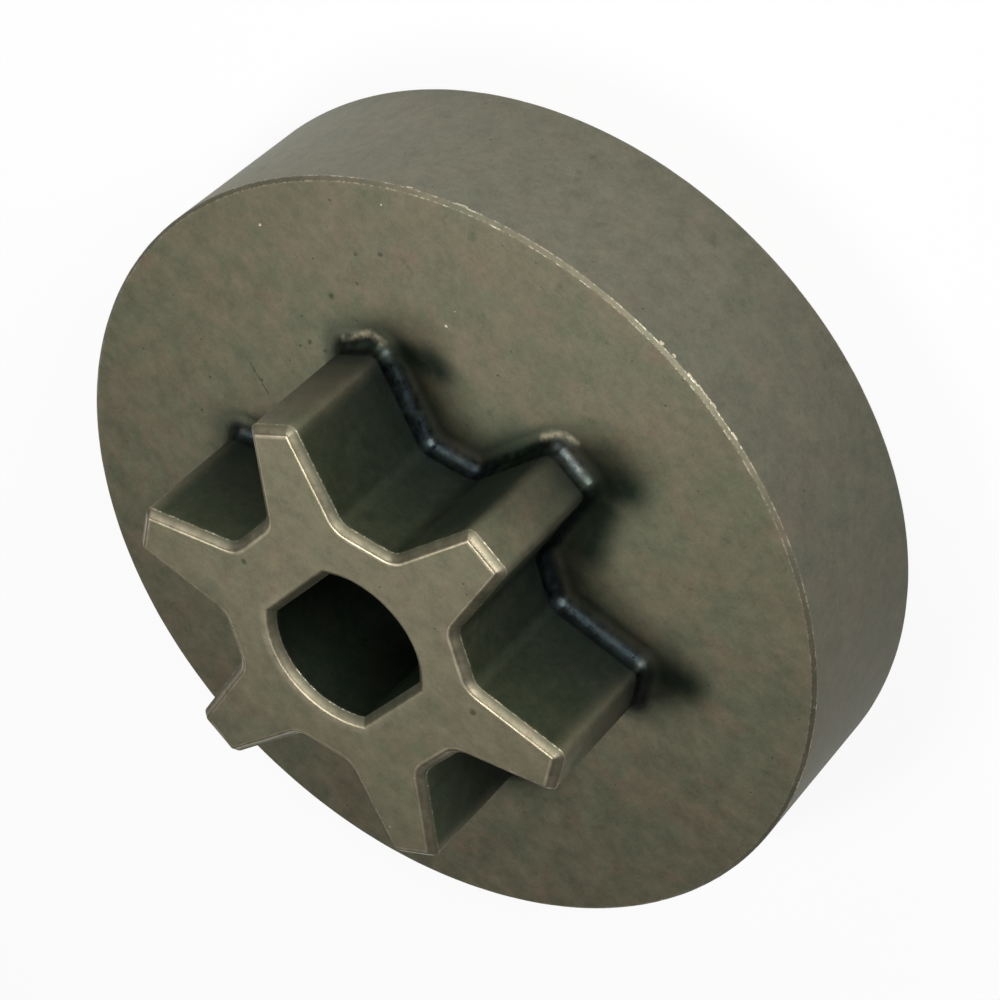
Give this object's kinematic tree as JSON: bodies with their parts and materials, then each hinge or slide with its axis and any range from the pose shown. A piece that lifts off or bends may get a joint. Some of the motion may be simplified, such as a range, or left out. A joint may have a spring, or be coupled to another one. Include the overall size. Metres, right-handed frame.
{
  "type": "chain saw drive sprocket",
  "caption": "Drive sprocket in one piece: a thick drum with a hollow back, a star of square-ended teeth on its face, and a through bore with two flats.",
  "frame": {"origin": "centre of the drum's back face, on the bore's axis", "axes": "+Z along the bore's axis, from the hollow back towards the star; the bore's two flats face along X, and the middle of a tooth gap lies on +X"},
  "size_m": [0.0512, 0.0512, 0.0218],
  "materials": {
    "sintered_steel": "pressed and sintered steel, steam-oxidised, dull olive grey"
  },
  "bodies": {
    "root": {"sprocket": "sintered_steel"}
  },
  "joints": []
}
